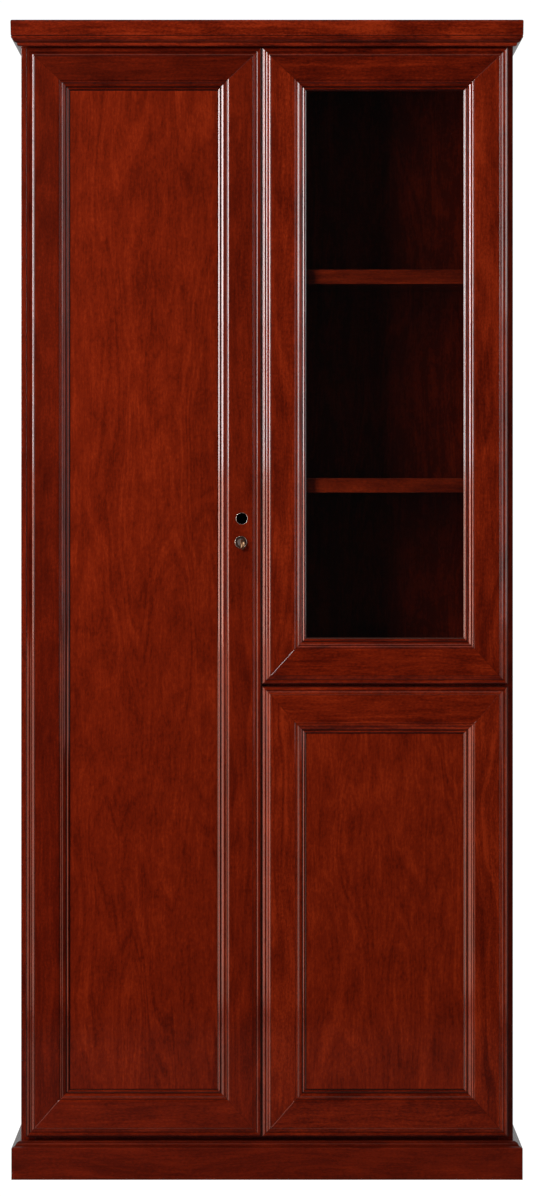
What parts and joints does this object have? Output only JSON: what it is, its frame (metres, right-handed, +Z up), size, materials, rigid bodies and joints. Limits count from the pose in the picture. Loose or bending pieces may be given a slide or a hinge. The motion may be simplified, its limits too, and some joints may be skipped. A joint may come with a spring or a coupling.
{
  "type": "glazed door cabinet",
  "caption": "Tall wooden cabinet with a full-height solid door beside a framed glass door over a solid cupboard door, with moulded cornice and plinth.",
  "frame": {"origin": "on the floor, at the centre of the footprint's bounding box", "axes": "+Z up, the doors face -Y, +X is right as seen from the front"},
  "size_m": [0.8846, 0.4, 2],
  "materials": {
    "carcass_wood": "satin lacquered red-brown mahogany veneer",
    "back_board": "satin lacquered thin board",
    "moulding_wood": "glossy lacquered mahogany moulding, grain along its length",
    "door_wood": "glossy lacquered mahogany, grain along each member",
    "panel_wood": "glossy lacquered figured mahogany veneer, grain upright",
    "glass": "clear float glass",
    "hinge_steel": "nickel-plated steel",
    "rail_chrome": "chromed tube",
    "ring_metal": "dull nickel",
    "lock_dark": "dark lock face",
    "key_brass": "worn brass",
    "latch_plastic": "dark brown moulded plastic"
  },
  "bodies": {
    "carcass": {"side_panel_left": "carcass_wood", "side_panel_right": "carcass_wood", "centre_partition": "carcass_wood", "floor_board": "carcass_wood", "ceiling_board": "carcass_wood", "middle_deck": "carcass_wood", "top_board": "carcass_wood", "shelf_high": "carcass_wood", "shelf_low": "carcass_wood", "shelf_cupboard": "carcass_wood", "shelf_hat": "carcass_wood", "cornice_backing": "carcass_wood", "plinth_backing": "carcass_wood", "plinth_back_rail": "carcass_wood", "back_panel_left": "back_board", "back_panel_right": "back_board", "cornice_front": "moulding_wood", "cornice_left": "moulding_wood", "cornice_right": "moulding_wood", "plinth_front": "moulding_wood", "plinth_left": "moulding_wood", "plinth_right": "moulding_wood", "hinge_arms": "hinge_steel", "hinge_plates": "hinge_steel", "hinge_screws": "hinge_steel", "shelf_pins": "hinge_steel", "lock_strike": "hinge_steel", "hanging_rail": "rail_chrome", "rail_sockets": "rail_chrome", "latch_housings": "latch_plastic"},
    "left_door": {"left_door_hinge_stile": "door_wood", "left_door_free_stile": "door_wood", "left_door_bottom_rail": "door_wood", "left_door_top_rail": "door_wood", "left_door_panel": "panel_wood", "left_door_hinge_cups": "hinge_steel", "finger_ring": "ring_metal", "lock_housing": "ring_metal", "lock_nut": "hinge_steel"},
    "lock_plug": {"lock_plug": "lock_dark", "lock_cam": "hinge_steel", "lock_cam_screw": "hinge_steel"},
    "key": {"key": "key_brass"},
    "glass_door": {"glass_door_hinge_stile": "door_wood", "glass_door_free_stile": "door_wood", "glass_door_bottom_rail": "door_wood", "glass_door_top_rail": "door_wood", "glass_door_pane": "glass", "glass_door_beads": "door_wood", "glass_door_hinge_cups": "hinge_steel", "glass_strike_plate": "hinge_steel"},
    "lower_door": {"lower_door_hinge_stile": "door_wood", "lower_door_free_stile": "door_wood", "lower_door_bottom_rail": "door_wood", "lower_door_top_rail": "door_wood", "lower_door_panel": "panel_wood", "lower_door_hinge_cups": "hinge_steel", "lower_strike_plate": "hinge_steel"},
    "glass_latch_plunger": {"glass_latch_plunger": "latch_plastic"},
    "lower_latch_plunger": {"lower_latch_plunger": "latch_plastic"}
  },
  "joints": [
    {"name": "left_door_hinge", "type": "hinge", "parent": "carcass", "child": "left_door", "pos_m": [-0.4084, -0.1709, 1.0129], "axis": [0, 0, -1], "range_deg": [0, 95]},
    {"name": "glass_door_hinge", "type": "hinge", "parent": "carcass", "child": "glass_door", "pos_m": [0.4082, -0.1709, 1.40255], "axis": [0, 0, 1], "range_deg": [0, 95]},
    {"name": "lower_door_hinge", "type": "hinge", "parent": "carcass", "child": "lower_door", "pos_m": [0.4082, -0.1709, 0.46245], "axis": [0, 0, 1], "range_deg": [0, 95]},
    {"name": "lock_turn", "type": "hinge", "parent": "left_door", "child": "lock_plug", "pos_m": [-0.045, -0.1834, 1.099], "axis": [0, -1, 0], "range_deg": [0, 90]},
    {"name": "key_withdrawal", "type": "slide", "parent": "lock_plug", "child": "key", "axis": [0, -1, 0], "range_m": [0, 0.03]},
    {"name": "glass_latch_push", "type": "slide", "parent": "carcass", "child": "glass_latch_plunger", "axis": [0, 1, 0], "range_m": [0, 0.0025], "stiffness_N_per_m": 400},
    {"name": "lower_latch_push", "type": "slide", "parent": "carcass", "child": "lower_latch_plunger", "axis": [0, 1, 0], "range_m": [0, 0.0025], "stiffness_N_per_m": 400}
  ]
}
